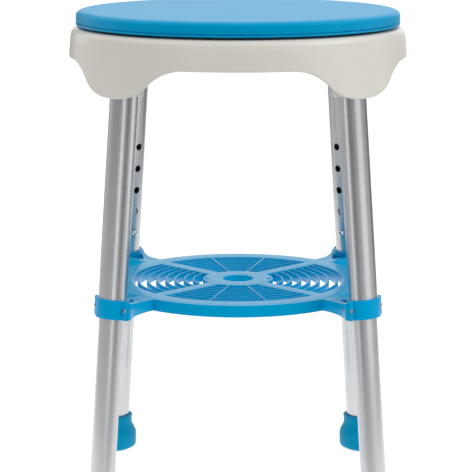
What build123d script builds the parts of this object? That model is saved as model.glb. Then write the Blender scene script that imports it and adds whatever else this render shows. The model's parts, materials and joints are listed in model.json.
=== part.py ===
from build123d import *
import os
from math import atan, cos, degrees, radians, sin

# A shower stool: a padded seat that swivels on a moulded base, four splayed legs that
# telescope on snap buttons, and a slatted shelf clamped to the legs.
# Millimetres, +Z up, front is -Y, origin on the floor under the middle of the stool.

# driving dimensions
seat_top = 531.2          # height of the seat with the legs fully out
seat_radius = 173.0
foot_reach = 205.0        # from the middle of the stool to a leg's axis at the floor
splay = 0.0909            # how far a leg leans in for each millimetre of height

# clearances
turn_gap = 0.3            # between parts that turn or slide on each other
fixed_gap = 0.1           # round a part that is fixed in its hole
past = 1.0                # how far a cutting body runs past what it cuts
far_past = 8.0            # the same for the slanted cuts along a leg

# seat
pad_thick = 13.2
pad_top_round = 5.0
pad_bottom_round = 1.0
tray_thick = 2.4
tray_boss_radius = 40.0
tray_boss_rise = 5.0
tray_lift = 2.6           # from the base's top to the tray

# pivot
bolt_radius = 6.0
bolt_head_radius = 15.0
bolt_head_thick = 3.5
bolt_spare = 3.0          # thread below the nut
bolt_chamfer = 1.0
bush_wall = 3.0
bush_flange_radius = 17.0
bush_flange_thick = 1.8
washer_radius = 16.0
washer_thick = 2.0
nut_across_flats = 18.0
nut_thick = 8.0
glide_inner = 128.0
glide_outer = 142.0
glide_sink = 1.2

# seat base
base_radius = 180.9       # at the apron's lower edge
base_depth = 31.2         # from the top to the apron's lower edge
base_draft = 0.08         # the skirt widens by this much for each millimetre down
base_round = 7.5
base_plate = 4.0
base_wall = 3.0
lobe_drop = 31.8          # from the apron's lower edge to a lobe's lowest edge
arch_flat = 54.0          # half width of the arch's flat top
arch_foot = 126.0         # where the arch meets the lobe's lowest edge
arch_upper_round = 50.0
hub_radius = 22.0
hub_proud = 1.0           # the hub's lower end below the ribs
rib_thick = 2.6
rib_drop = 19.0
ring_rib_radius = 92.0
boss_wall = 4.2
boss_short = 2.0          # a socket ends this much above the lobe's lowest edge
socket_roof = 3.0

# legs: oval tubes, the wide way across the line to the middle of the stool
upper_wide = 34.0
upper_deep = 25.4
tube_wall = 1.5
leg_travel = 101.6
hole_pitch = 25.4
hole_radius = 4.0
button_height = 265.4
lower_top_over_button = 35.5
tube_in_foot = 6.5        # from the floor to the lower tube's end

# snap buttons
button_radius = 3.7
button_proud = 2.6        # the dome's top above the upper tube
button_dome = 2.8         # rounding of its end
button_flange_radius = 4.8
button_flange_thick = 1.2
spring_wide = 8.0
spring_thick = 0.7
spring_long = 34.0
spring_over = 9.0
spring_fold = 1.5

# feet
foot_height = 42.5
foot_top_wall = 3.0
foot_flare = 7.0
foot_round = 5.0          # height of the rounding at the sole
sole_inset = 4.5          # how far the rounding draws the sole in
sole_step = 1.5           # the rounding's middle, up and in
foot_band = 9.0           # straight band at the foot's top
foot_flare_height = 20.0
flare_at_bend = 6.4       # what is left of the flare at that height
flare_at_band = 0.7       # and under the straight band
foot_washer_thick = 1.5
foot_washer_short = 1.6

# shelf
shelf_top = 236.7
shelf_depth = 12.3
shelf_skin = 2.6
rim_outer = 138.0
rim_inner = 115.5
rim_wall = 2.4
centre_radius = 38.5
centre_hole = 16.2
bump_radius = 2.6
bump_rise = 0.8
bump_reach = 34.0
arm_wide = 15.0
slat_first = 48.7
slat_pitch = 10.05
slat_count = 7
slat_thick = 2.0
slat_sink = 0.5
slat_short = 2.4
rib_lean = 15.0           # degrees from the front-to-back line
shelf_rib_thick = 1.7
shelf_rib_depth = 4.0

# collars
collar_bottom = 223.0
collar_height = 20.2
collar_wall = 2.4
ear_long = 6.5
ear_thick = 3.2
neck_wide = 25.0
neck_reach = 134.0        # where an arm's sides leave the rim
side_sag = (0.62, 0.22)   # a place on an arm's hollow side, as shares of its length and flare
rise_sag = (0.5, 0.2)     # a place on an arm's rising top, as shares of its length and rise
pocket_reach = 153.0
pocket_wall = 3.4
pocket_share = 0.62       # of the arm's half width where the pocket ends
pocket_depth = 4.5
rise_start = 147.0        # where an arm's top starts to rise

# screws
screw_radius = 1.9
screw_head_radius = 3.4
screw_head_thick = 1.8
screw_head_round = 1.1
collar_screw_long = 12.0
leg_screw_long = 9.0
leg_screw_up = 24.0       # above a socket's lower end

corners = {"fl": 225, "fr": 315, "rr": 45, "rl": 135}
lean = degrees(atan(splay))

# heights that follow from the sizes above
pad_bottom = seat_top - pad_thick
tray_bottom = pad_bottom - tray_thick
base_top = tray_bottom - tray_lift
apron_bottom = base_top - base_depth
lobe_bottom = apron_bottom - lobe_drop
boss_bottom = lobe_bottom + boss_short
hub_bottom = base_top - base_plate - rib_drop - hub_proud
shelf_bottom = shelf_top - shelf_depth

# oval sizes: each is (wide, deep), outside and inside
upper_out = (upper_wide, upper_deep)
upper_in = (upper_wide - 2 * tube_wall, upper_deep - 2 * tube_wall)
lower_out = (upper_in[0] - 2 * turn_gap, upper_in[1] - 2 * turn_gap)
lower_in = (lower_out[0] - 2 * tube_wall, lower_out[1] - 2 * tube_wall)


def along(height):
    """Distance along a leg's axis from the floor to a height."""
    return height / cos(radians(lean))


def reach_at(height):
    """Distance of a leg's axis from the middle of the stool at a height."""
    return foot_reach - splay * height


def grown(oval, by):
    return (oval[0] + 2 * by, oval[1] + 2 * by)


def leg_frame(corner):
    """X points away from the stool's middle, Y across, Z up the leg's axis."""
    return Rotation(0, 0, corners[corner]) * Location((foot_reach, 0, 0), (0, -lean, 0))


def corner_frame(corner):
    """X points from the stool's middle towards the corner, Z straight up."""
    return Rotation(0, 0, corners[corner])


def oval_bar(oval, start, end):
    """A solid oval bar along Z between two places."""
    section = Ellipse(oval[1] / 2, oval[0] / 2)
    return Pos(0, 0, start) * extrude(section, end - start)


def disc(radius, bottom, top, hole=0.0):
    body = Pos(0, 0, bottom) * extrude(Circle(radius), top - bottom)
    if hole:
        body -= Pos(0, 0, bottom - past) * extrude(Circle(hole), top - bottom + 2 * past)
    return body


def turned(points):
    """Turn an outline, given as (radius, height) points, about Z."""
    outline = make_face(Polyline(*[(r, 0, z) for r, z in points], close=True))
    return revolve(outline, Axis.Z)


def block(x_range, y_range, z_range):
    (x0, x1), (y0, y1), (z0, z1) = x_range, y_range, z_range
    middle = ((x0 + x1) / 2, (y0 + y1) / 2, (z0 + z1) / 2)
    return Pos(*middle) * Box(x1 - x0, y1 - y0, z1 - z0)


def save(shape, name):
    shape.label = name
    export_step(shape, os.path.join("parts", name + ".step"))


# ---- seat ----

def make_seat_pad():
    """Foam cushion with a soft top edge and a recess over the tray's boss."""
    pad = disc(seat_radius, pad_bottom, seat_top)
    pad = fillet(pad.edges().group_by(Axis.Z)[-1], pad_top_round)
    pad = fillet(pad.edges().group_by(Axis.Z)[0], pad_bottom_round)
    recess_top = pad_bottom + tray_boss_rise + fixed_gap
    return pad - disc(tray_boss_radius + fixed_gap, pad_bottom - past, recess_top)


def make_swivel_tray():
    """Rigid plate under the cushion, with a raised boss that holds the bolt's head."""
    boss_top = pad_bottom + tray_boss_rise
    tray = disc(seat_radius, tray_bottom, pad_bottom)
    tray += disc(tray_boss_radius, tray_bottom, boss_top)
    tray -= disc(bolt_head_radius + fixed_gap, boss_top - bolt_head_thick, boss_top + past)
    return tray - disc(bolt_radius + fixed_gap, tray_bottom - past, boss_top)


def pivot_heights():
    """Heights of the washer's underside and the nut's underside."""
    washer_bottom = hub_bottom - turn_gap - washer_thick
    return washer_bottom, washer_bottom - nut_thick


def make_pivot_bolt():
    head_top = pad_bottom + tray_boss_rise
    head_bottom = head_top - bolt_head_thick
    end = pivot_heights()[1] - bolt_spare
    bolt = disc(bolt_radius, end, head_bottom) + disc(bolt_head_radius, head_bottom, head_top)
    return chamfer(bolt.edges().group_by(Axis.Z)[0], bolt_chamfer)


def make_pivot_bush():
    """Flanged sleeve in the base's hub that the bolt turns in."""
    bore = bolt_radius + turn_gap
    bush = disc(bore + bush_wall, hub_bottom, base_top)
    bush += disc(bush_flange_radius, base_top, base_top + bush_flange_thick)
    return bush - disc(bore, hub_bottom - past, base_top + bush_flange_thick + past)


def make_pivot_washer():
    washer_bottom, _ = pivot_heights()
    return disc(washer_radius, washer_bottom, washer_bottom + washer_thick, bolt_radius + fixed_gap)


def make_pivot_nut():
    nut_top, nut_bottom = pivot_heights()
    corner_radius = nut_across_flats / 2 / cos(radians(30))
    nut = Pos(0, 0, nut_bottom) * extrude(RegularPolygon(corner_radius, 6), nut_thick)
    return nut - disc(bolt_radius + fixed_gap, nut_bottom - past, nut_top + past)


def make_glide_ring():
    """Slippery ring let into the base's top, which carries the seat."""
    return disc(glide_outer, base_top - glide_sink, tray_bottom - turn_gap, glide_inner)


# ---- seat base ----

def skirt_radius(height):
    return base_radius + (apron_bottom - height) * base_draft


def base_outline(inset, bottom, top):
    """Solid with the base's outer shape, moved in by an inset."""
    body = turned([
        (0, bottom),
        (skirt_radius(bottom) - inset, bottom),
        (skirt_radius(top) - inset, top),
        (0, top),
    ])
    return fillet(body.edges().group_by(Axis.Z)[-1], base_round - inset)


def arch_cutter():
    """Prism below one arch: a flat top, then two tangent arcs down to the lobes' lowest edge."""
    run = arch_foot - arch_flat
    half_turn = atan(lobe_drop / run)
    both = run / sin(2 * half_turn)
    upper, lower = arch_upper_round, both - arch_upper_round
    meet = (arch_flat + upper * sin(2 * half_turn), apron_bottom - upper * (1 - cos(2 * half_turn)))
    upper_mid = (arch_flat + upper * sin(half_turn), apron_bottom - upper * (1 - cos(half_turn)))
    lower_mid = (arch_foot - lower * sin(half_turn), lobe_bottom + lower * (1 - cos(half_turn)))
    floor = lobe_bottom - far_past
    right = Curve() + [
        Line((0, apron_bottom), (arch_flat, apron_bottom)),
        ThreePointArc((arch_flat, apron_bottom), upper_mid, meet),
        ThreePointArc(meet, lower_mid, (arch_foot, lobe_bottom)),
        Line((arch_foot, lobe_bottom), (arch_foot, floor)),
        Line((arch_foot, floor), (0, floor)),
        Line((0, floor), (0, apron_bottom)),
    ]
    half = make_face(Plane.XZ * right)
    whole = half + mirror(half, Plane.YZ)
    return extrude(whole, 2 * base_radius, both=True)


def socket_boss(corner):
    """Oval socket for one leg, open at the bottom."""
    outside = oval_bar(grown(upper_out, boss_wall), along(boss_bottom), along(base_top) + far_past)
    outside = leg_frame(corner) * outside
    return outside & base_outline(fixed_gap, lobe_bottom, base_top - fixed_gap)


def socket_hole(corner):
    top = along(base_top - base_plate - socket_roof)
    return leg_frame(corner) * oval_bar(grown(upper_out, fixed_gap), along(boss_bottom) - far_past, top)


def base_ribs():
    """Radial and ring ribs under the top plate."""
    top, bottom = base_top - base_plate / 2, base_top - base_plate - rib_drop
    rib = block((0, base_radius), (-rib_thick / 2, rib_thick / 2), (bottom, top))
    rib &= base_outline(base_wall / 2, bottom, base_top - base_plate / 2)
    ring = disc(ring_rib_radius + rib_thick, bottom, top, ring_rib_radius)
    return [Rotation(0, 0, turn) * rib for turn in range(0, 360, 45)] + [ring]


def leg_screw_place(corner):
    """Head face of a leg's screw, on the inner side of its socket, X along the screw."""
    height = along(boss_bottom) + leg_screw_up
    outside = grown(upper_out, boss_wall)
    return leg_frame(corner) * Location((-outside[1] / 2, 0, height))


def make_seat_base():
    """Moulded shell: top plate, arched skirt with four lobes, sockets, hub and ribs."""
    shell = base_outline(0, lobe_bottom, base_top)
    shell -= base_outline(base_wall, lobe_bottom - past, base_top - base_plate)
    arch = arch_cutter()
    shell = shell - arch - Rotation(0, 0, 90) * arch
    shell += [disc(hub_radius, hub_bottom, base_top - base_plate / 2)] + base_ribs()
    shell += [socket_boss(corner) for corner in corners]
    shell -= [socket_hole(corner) for corner in corners]
    bush_radius = bolt_radius + turn_gap + bush_wall + fixed_gap
    shell -= disc(bush_radius, hub_bottom - past, base_top + past)
    groove_bottom = base_top - glide_sink
    shell -= disc(glide_outer + fixed_gap, groove_bottom, base_top + past, glide_inner - fixed_gap)
    return shell - [leg_screw_place(corner) * screw_bore(leg_screw_long) for corner in corners]


# ---- screws ----

def screw_body(length):
    """Pan-head screw along X: the head stands at minus X, the shank runs to plus X."""
    shank = Rotation(0, 90, 0) * disc(screw_radius, 0, length)
    head = Rotation(0, 90, 0) * disc(screw_head_radius, -screw_head_thick, 0)
    head = fillet(head.edges().group_by(Axis.X)[0], screw_head_round)
    return shank + head


def screw_bore(length):
    return Rotation(0, 90, 0) * disc(screw_radius + fixed_gap, -past, length + fixed_gap)


def make_leg_screws():
    return Compound([leg_screw_place(corner) * screw_body(leg_screw_long) for corner in corners])


# ---- legs ----

def button_axis(height_along):
    """Cylinder places for holes on the side of a leg that faces the stool's middle."""
    return Pos(0, 0, height_along) * Rotation(0, -90, 0)


def side_hole(radius, height_along):
    return button_axis(height_along) * disc(radius, 0, upper_deep)


def make_upper_leg(corner):
    """Outer tube with a row of five locking holes and a screw hole in the socket."""
    bottom = along(collar_bottom + fixed_gap)
    top = along(base_top - base_plate - socket_roof) - fixed_gap
    tube = oval_bar(upper_out, bottom, top) - oval_bar(upper_in, bottom - past, top + past)
    first = along(button_height)
    steps = round(leg_travel / hole_pitch) + 1
    tube -= [side_hole(hole_radius, first + step * hole_pitch) for step in range(steps)]
    tube = leg_frame(corner) * tube
    return tube - leg_screw_place(corner) * screw_bore(leg_screw_long)


def make_lower_leg(corner):
    bottom, top = tube_in_foot, along(button_height) + lower_top_over_button
    tube = oval_bar(lower_out, bottom, top) - oval_bar(lower_in, bottom - past, top + past)
    tube -= side_hole(hole_radius, along(button_height))
    return leg_frame(corner) * tube


def spring_face():
    """Distance from a leg's axis to the spring's outer face, inside the lower tube."""
    across = spring_wide / lower_in[0]
    return lower_in[1] / 2 * (1 - across**2) ** 0.5 - turn_gap


def make_snap_button(corner):
    """Domed pin: it stands out through both tubes towards the stool's middle."""
    tip = upper_deep / 2 + button_proud
    seat = spring_face() - button_flange_thick
    pin = disc(button_radius, seat, tip)
    pin = fillet(pin.edges().group_by(Axis.Z)[-1], button_dome)
    flange_top = spring_face() - fixed_gap
    pin += disc(button_flange_radius, seat, flange_top)
    return leg_frame(corner) * (button_axis(along(button_height)) * pin)


def make_snap_spring(corner):
    """Folded leaf inside the lower tube: one side carries the pin, the other bears on the tube."""
    face = spring_face()
    near = face - button_flange_thick - fixed_gap
    middle = along(button_height)
    low, high = middle - spring_long, middle + spring_over
    path = Polyline((-near + spring_thick / 2, high), (-near + spring_thick / 2, middle - spring_over),
                    (-spring_fold, low), (spring_fold, low), (face - spring_thick / 2, high))
    outline = Plane.XZ * trace(path, spring_thick)
    return leg_frame(corner) * extrude(outline, spring_wide / 2, both=True)


# ---- feet ----

def foot_section(height, by):
    """Oval outline of a foot at a height: level near the floor, square to the leg above."""
    oval = grown(lower_out, foot_top_wall + by)
    section = Ellipse(oval[1] / 2, oval[0] / 2)
    if height < foot_flare_height:
        return Pos(reach_at(height), 0, height) * section
    return Location((foot_reach, 0, 0), (0, -lean, 0)) * Pos(0, 0, along(height)) * section


def make_foot(corner):
    """Rubber ferrule: oval like the tube, flared towards a flat sole."""
    sections = [
        foot_section(0, foot_flare - sole_inset),
        foot_section(sole_step, foot_flare - sole_step),
        foot_section(foot_round, foot_flare),
        foot_section(foot_flare_height, flare_at_bend),
        foot_section(foot_height - foot_band, flare_at_band),
        foot_section(foot_height, 0),
    ]
    body = corner_frame(corner) * loft(sections, ruled=True)
    bore = oval_bar(grown(lower_out, fixed_gap), tube_in_foot - foot_washer_thick, 2 * foot_height)
    return body - leg_frame(corner) * bore


def make_foot_washer(corner):
    """Steel plate in the foot that keeps the tube from cutting through the rubber."""
    plate = grown(lower_out, -foot_washer_short)
    return leg_frame(corner) * oval_bar(plate, tube_in_foot - foot_washer_thick, tube_in_foot)


# ---- collars ----

def collar_heights():
    """Where a collar starts and ends along its leg."""
    return along(collar_bottom), along(collar_bottom + collar_height)


def ear_reach():
    """Distance across the leg from its axis to the end of an ear."""
    return upper_wide / 2 + collar_wall + ear_long


def collar_screw_places(corner):
    """Both ears' screw places: X runs along the screw, towards the stool's middle."""
    bottom, top = collar_heights()
    across = upper_wide / 2 + collar_wall + ear_long / 2
    return [
        leg_frame(corner) * Location((ear_thick, side * across, (bottom + top) / 2), (0, 0, 180))
        for side in (-1, 1)
    ]


def make_collar(corner):
    """Strap round the outer half of a leg, with an ear at each end."""
    bottom, top = collar_heights()
    strap = oval_bar(grown(upper_out, collar_wall), bottom, top)
    strap += block((0, ear_thick), (-ear_reach(), ear_reach()), (bottom, top))
    strap -= oval_bar(grown(upper_out, fixed_gap), bottom - past, top + past)
    keep = block((fixed_gap, upper_wide), (-upper_wide, upper_wide), (bottom, top))
    strap = leg_frame(corner) * (strap & keep)
    return strap - [place * screw_bore(collar_screw_long) for place in collar_screw_places(corner)]


def make_collar_screws():
    return Compound([
        place * screw_body(collar_screw_long)
        for corner in corners for place in collar_screw_places(corner)
    ])


# ---- shelf ----

def arm_plan():
    """Outline of one arm from the rim to its collar, with hollow sides, seen from above."""
    end = reach_at(shelf_top)
    neck, wide = neck_wide / 2, ear_reach()
    sag = (neck_reach + (end - neck_reach) * side_sag[0], neck + (wide - neck) * side_sag[1])
    side = Curve() + [
        Line((rim_inner + rim_wall, 0), (rim_inner + rim_wall, neck)),
        Line((rim_inner + rim_wall, neck), (neck_reach, neck)),
        ThreePointArc((neck_reach, neck), sag, (end - ear_thick, wide)),
        Line((end - ear_thick, wide), (end + ear_thick, wide)),
        Line((end + ear_thick, wide), (end + ear_thick, 0)),
        Line((end + ear_thick, 0), (rim_inner + rim_wall, 0)),
    ]
    half = make_face(side)
    return half + mirror(half, Plane.XZ)


def arm_profile():
    """Side view of one arm: level with the rim, then curving up to the collar's top."""
    end, top = reach_at(shelf_top) + ear_thick, collar_bottom + collar_height
    sag = (rise_start + (end - rise_start) * rise_sag[0], shelf_top + (top - shelf_top) * rise_sag[1])
    low = min(shelf_bottom, collar_bottom)
    face = make_face(Plane.XZ * (Curve() + [
        Line((rim_inner, shelf_top), (rise_start, shelf_top)),
        ThreePointArc((rise_start, shelf_top), sag, (end, top)),
        Line((end, top), (end, low)),
        Line((end, low), (rise_start, shelf_bottom)),
        Line((rise_start, shelf_bottom), (rim_inner, shelf_bottom)),
        Line((rim_inner, shelf_bottom), (rim_inner, shelf_top)),
    ]))
    return extrude(face, ear_reach() + past, both=True)


def pocket():
    """Three-cornered hollow in the top of an arm, between its two walls."""
    end = reach_at(shelf_top) - upper_deep / 2 - collar_wall
    wide = ear_reach() * pocket_share - pocket_wall
    outline = make_face(Polyline((pocket_reach, 0), (end, wide), (end, -wide), close=True))
    return Pos(0, 0, shelf_top - pocket_depth) * extrude(outline, collar_height)


def shelf_arm(corner):
    """Arm to one leg: it ends in a saddle round the inner half of the upper tube."""
    bottom, top = collar_heights()
    plan = Pos(0, 0, collar_bottom - past) * extrude(arm_plan(), collar_height + 2 * past)
    arm = corner_frame(corner) * ((plan & arm_profile()) - pocket())
    saddle = oval_bar(grown(upper_out, collar_wall), bottom, top)
    saddle &= block((-upper_wide, 0), (-upper_wide, upper_wide), (bottom, top))
    arm += leg_frame(corner) * saddle
    tube_way = oval_bar(grown(upper_out, fixed_gap), bottom - far_past, top + far_past)
    outer = block((0, 3 * upper_wide), (-3 * upper_wide, 3 * upper_wide), (bottom - far_past, top + far_past))
    arm = arm - leg_frame(corner) * tube_way - leg_frame(corner) * outer
    return arm - [place * screw_bore(collar_screw_long) for place in collar_screw_places(corner)]


def channel(length_range, width):
    """Bar along X with a skin on top and a thin wall down each side."""
    half = width / 2
    bar = block(length_range, (-half, half), (shelf_bottom + slat_short, shelf_top))
    inner = half - rim_wall
    return bar - block(length_range, (-inner, inner), (shelf_bottom, shelf_top - shelf_skin))


def shelf_rim():
    skin_bottom = shelf_top - shelf_skin
    rim = disc(rim_outer, skin_bottom, shelf_top, rim_inner)
    rim += disc(rim_outer, shelf_bottom, skin_bottom, rim_outer - rim_wall)
    return rim + disc(rim_inner + rim_wall, shelf_bottom + slat_short, skin_bottom, rim_inner)


def shelf_centre():
    low = shelf_bottom + slat_short
    skin_bottom = shelf_top - shelf_skin
    centre = disc(centre_radius, skin_bottom, shelf_top, centre_hole)
    centre += disc(centre_radius, low, skin_bottom, centre_radius - rim_wall)
    centre += disc(centre_hole + rim_wall, low, skin_bottom, centre_hole)
    bumps = [Pos(side * bump_reach, 0, 0) * disc(bump_radius, skin_bottom, shelf_top + bump_rise)
             for side in (-1, 1)]
    return centre + bumps


def make_shelf():
    """Slatted round shelf with four arms, moulded in one piece."""
    low, high = shelf_bottom + slat_short, shelf_top - slat_sink
    slats = [
        disc(radius + slat_thick / 2, low, high, radius - slat_thick / 2)
        for radius in (slat_first + step * slat_pitch for step in range(slat_count))
    ]
    half_rib = shelf_rib_thick / 2
    rib = block((centre_radius - past, rim_inner + past), (-half_rib, half_rib),
                (shelf_top - shelf_rib_depth, shelf_top))
    ribs = [Rotation(0, 0, middle + side * rib_lean) * rib for middle in (90, 270) for side in (-1, 1)]
    spokes = [Rotation(0, 0, turn) * channel((centre_hole + rim_wall, rim_inner + past), arm_wide)
              for turn in corners.values()]
    shelf = shelf_rim() + [shelf_centre()] + slats + ribs + spokes
    shelf -= disc(centre_hole, shelf_bottom, shelf_top + past)
    return shelf + [shelf_arm(corner) for corner in corners]


# ---- write every piece ----

os.makedirs("parts", exist_ok=True)

single_pieces = {
    "seat_pad": make_seat_pad,
    "swivel_tray": make_swivel_tray,
    "pivot_bolt": make_pivot_bolt,
    "pivot_bush": make_pivot_bush,
    "pivot_washer": make_pivot_washer,
    "pivot_nut": make_pivot_nut,
    "glide_ring": make_glide_ring,
    "seat_base": make_seat_base,
    "leg_screws": make_leg_screws,
    "shelf": make_shelf,
    "collar_screws": make_collar_screws,
}
corner_pieces = {
    "upper_leg": make_upper_leg,
    "lower_leg": make_lower_leg,
    "snap_button": make_snap_button,
    "snap_spring": make_snap_spring,
    "foot": make_foot,
    "foot_washer": make_foot_washer,
    "collar": make_collar,
}
for name, make in single_pieces.items():
    save(make(), name)
for name, make in corner_pieces.items():
    for corner in corners:
        save(make(corner), name + "_" + corner)
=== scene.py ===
import json
import math
import bmesh
import bpy
from mathutils import Matrix, Vector


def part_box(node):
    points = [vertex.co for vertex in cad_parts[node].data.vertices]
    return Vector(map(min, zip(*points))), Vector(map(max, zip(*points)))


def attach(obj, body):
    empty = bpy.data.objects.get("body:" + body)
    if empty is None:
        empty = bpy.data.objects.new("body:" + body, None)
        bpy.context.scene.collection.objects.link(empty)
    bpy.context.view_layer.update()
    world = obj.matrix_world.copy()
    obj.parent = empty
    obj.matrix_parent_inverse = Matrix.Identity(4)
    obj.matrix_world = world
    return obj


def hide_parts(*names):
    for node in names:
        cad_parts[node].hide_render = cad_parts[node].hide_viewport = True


# A shower stool. Metres, +Z up, front is -Y.
# Corners: fl front left, fr front right, rr rear right, rl rear left.

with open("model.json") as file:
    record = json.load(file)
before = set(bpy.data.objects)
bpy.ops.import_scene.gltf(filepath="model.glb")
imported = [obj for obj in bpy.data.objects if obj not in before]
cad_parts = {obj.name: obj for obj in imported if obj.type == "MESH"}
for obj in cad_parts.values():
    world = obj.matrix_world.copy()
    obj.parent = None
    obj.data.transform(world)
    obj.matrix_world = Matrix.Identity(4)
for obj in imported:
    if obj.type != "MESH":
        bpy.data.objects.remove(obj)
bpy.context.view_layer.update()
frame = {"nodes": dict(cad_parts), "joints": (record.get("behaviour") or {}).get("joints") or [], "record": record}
record = frame["record"]
scene = bpy.context.scene
print("frame loaded")

cornerTurn = {"fl": 225, "fr": 315, "rr": 45, "rl": 135}
legUp = {j["name"][-2:]: Vector(j["axis"]) for j in frame["joints"] if j["name"].startswith("leg_slide")}
legOut = {j["name"][-2:]: Vector(j["axis"]) for j in frame["joints"] if j["name"].startswith("button_press")}
legFoot = {m["name"][-2:]: Vector(m["pos_m"])
           for m in record["mounts"] if m["name"].startswith("floor_face")}
footReach = legFoot["fr"].length
legLean = math.acos(legUp["fr"].z)


def legMatrix(corner):
    # X away from the stool's middle, Y across, Z up the leg
    up, out = legUp[corner], legOut[corner]
    side = up.cross(out)
    turn = Matrix((out, side, up)).transposed().to_4x4()
    return Matrix.Translation(legFoot[corner]) @ turn


def cornerMatrix(corner):
    return Matrix.Rotation(math.radians(cornerTurn[corner]), 4, "Z")


# the same leg seen from its own corner, before it is turned into place
cornerLeg = Matrix.Translation((footReach, 0, 0)) @ Matrix.Rotation(-legLean, 4, "Y")


def alongLeg(height):
    return height / math.cos(legLean)


def reachAt(height):
    return footReach - math.tan(legLean) * height


# ---- shape helpers: a part is (points, faces) ----

def softOutline(points, radius, steps=4):
    # closed outline with its corners rounded; radius is one number or one for each corner
    out = []
    for i, point in enumerate(points):
        here = Vector(point)
        back = Vector(points[i - 1]) - here
        ahead = Vector(points[(i + 1) % len(points)]) - here
        wanted = radius[i] if isinstance(radius, (list, tuple)) else radius
        reach = min(wanted, back.length * 0.48, ahead.length * 0.48)
        if reach < 1e-6:
            out.append(tuple(here))
            continue
        start = here + back.normalized() * reach
        end = here + ahead.normalized() * reach
        for k in range(steps + 1):
            t = k / steps
            out.append(tuple(start.lerp(here, t).lerp(here.lerp(end, t), t)))
    return out


def lathe(outline, steps=192):
    # closed outline of (radius, height) turned about Z
    points, faces, rings = [], [], []
    for r, z in outline:
        if r < 1e-6:
            rings.append([len(points)] * steps)
            points.append(Vector((0, 0, z)))
            continue
        rings.append(list(range(len(points), len(points) + steps)))
        for k in range(steps):
            a = 2 * math.pi * k / steps
            points.append(Vector((r * math.cos(a), r * math.sin(a), z)))
    for i, ring in enumerate(rings):
        after = rings[(i + 1) % len(rings)]
        for k in range(steps):
            n = (k + 1) % steps
            face = list(dict.fromkeys((ring[k], ring[n], after[n], after[k])))
            if len(face) > 2:
                faces.append(face)
    return points, faces


def loft(rings, cyclic=False):
    # closed rings of points joined one to the next, with flat ends unless they go round
    count = len(rings[0])
    points = [Vector(p) for ring in rings for p in ring]
    faces = []
    for i in range(len(rings) if cyclic else len(rings) - 1):
        a, b = i * count, (i + 1) % len(rings) * count
        for k in range(count):
            n = (k + 1) % count
            faces.append([a + k, a + n, b + n, b + k])
    if not cyclic:
        faces.append(list(range(count)))
        faces.append(list(range(len(points) - count, len(points))))
    return points, faces


def moved(part, matrix):
    return [matrix @ p for p in part[0]], part[1]


def joined(*parts):
    points, faces = [], []
    for partPoints, partFaces in parts:
        shift = len(points)
        points += partPoints
        faces += [[shift + i for i in face] for face in partFaces]
    return points, faces


def meshPart(mesh):
    return [v.co.copy() for v in mesh.vertices], [list(p.vertices) for p in mesh.polygons]


def ovalRing(wide, deep, height, matrix, steps=96):
    # wide is across the leg, deep is towards the middle of the stool
    ring = []
    for k in range(steps):
        a = 2 * math.pi * k / steps
        ring.append(matrix @ Vector((deep / 2 * math.cos(a), wide / 2 * math.sin(a), height)))
    return ring


def roundedBox(x, y, z, soft=0.0006):
    outline = softOutline([(x[0], y[0]), (x[1], y[0]), (x[1], y[1]), (x[0], y[1])], soft * 1.6, 3)
    centre = Vector(((x[0] + x[1]) / 2, (y[0] + y[1]) / 2, 0))
    rings = []
    for height, inset in ((z[0], soft), (z[0] + soft * 0.3, soft * 0.3), (z[0] + soft, 0),
                          (z[1] - soft, 0), (z[1] - soft * 0.3, soft * 0.3), (z[1], soft)):
        ring = []
        for px, py in outline:
            away = Vector((px, py, 0)) - centre
            sx = 1 - inset / max(abs(x[1] - x[0]) / 2, 1e-6)
            sy = 1 - inset / max(abs(y[1] - y[0]) / 2, 1e-6)
            ring.append(centre + Vector((away.x * sx, away.y * sy, height)))
        rings.append(ring)
    return loft(rings)


def ribbon(path, outline):
    # outline of (outwards, height) points carried along a flat path of (place, outwards) pairs
    rings = []
    for place, outwards in path:
        rings.append([place + outwards * o + Vector((0, 0, z)) for o, z in outline])
    return loft(rings)


def cleanMesh(name, part, smoothAngle=32):
    mesh = bpy.data.meshes.new(name)
    work = bmesh.new()
    verts = [work.verts.new(p) for p in part[0]]
    for face in part[1]:
        try:
            work.faces.new([verts[i] for i in face])
        except ValueError:      # the same face twice
            pass
    bmesh.ops.remove_doubles(work, verts=work.verts, dist=2e-6)
    bmesh.ops.dissolve_degenerate(work, edges=work.edges, dist=1e-6)
    bmesh.ops.recalc_face_normals(work, faces=work.faces)
    work.to_mesh(mesh)
    work.free()
    mesh.polygons.foreach_set("use_smooth", [True] * len(mesh.polygons))
    mesh.set_sharp_from_angle(angle=math.radians(smoothAngle))
    return mesh


def addPiece(name, part, body, material, nodes, smoothAngle=32):
    mesh = cleanMesh(name, part, smoothAngle)
    mesh.materials.append(material)
    piece = bpy.data.objects.new(name, mesh)
    scene.collection.objects.link(piece)
    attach(piece, body)
    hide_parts(*nodes)
    return piece


def cutPart(part, *tools):
    # part less the tools, by exact booleans on scratch objects
    scratch = [bpy.data.objects.new("cutScratch", cleanMesh("cutScratch", p)) for p in (part, *tools)]
    for item in scratch:
        scene.collection.objects.link(item)
    for tool in scratch[1:]:
        cut = scratch[0].modifiers.new("cut", "BOOLEAN")
        cut.operation = "DIFFERENCE"
        cut.solver = "EXACT"
        cut.object = tool
    bpy.context.view_layer.update()
    graph = bpy.context.evaluated_depsgraph_get()
    mesh = bpy.data.meshes.new_from_object(scratch[0].evaluated_get(graph))
    result = meshPart(mesh)
    for item in scratch:
        bpy.data.objects.remove(item)
    bpy.data.meshes.remove(mesh)
    return result


# ---- node trees that repeat a shape ----

def newTree(name, sockets):
    tree = bpy.data.node_groups.new(name, "GeometryNodeTree")
    for label, kind in sockets:
        tree.interface.new_socket(name=label, in_out="INPUT", socket_type=kind)
    tree.interface.new_socket(name="Geometry", in_out="OUTPUT", socket_type="NodeSocketGeometry")
    return tree, tree.nodes.new("NodeGroupInput"), tree.nodes.new("NodeGroupOutput")


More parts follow.
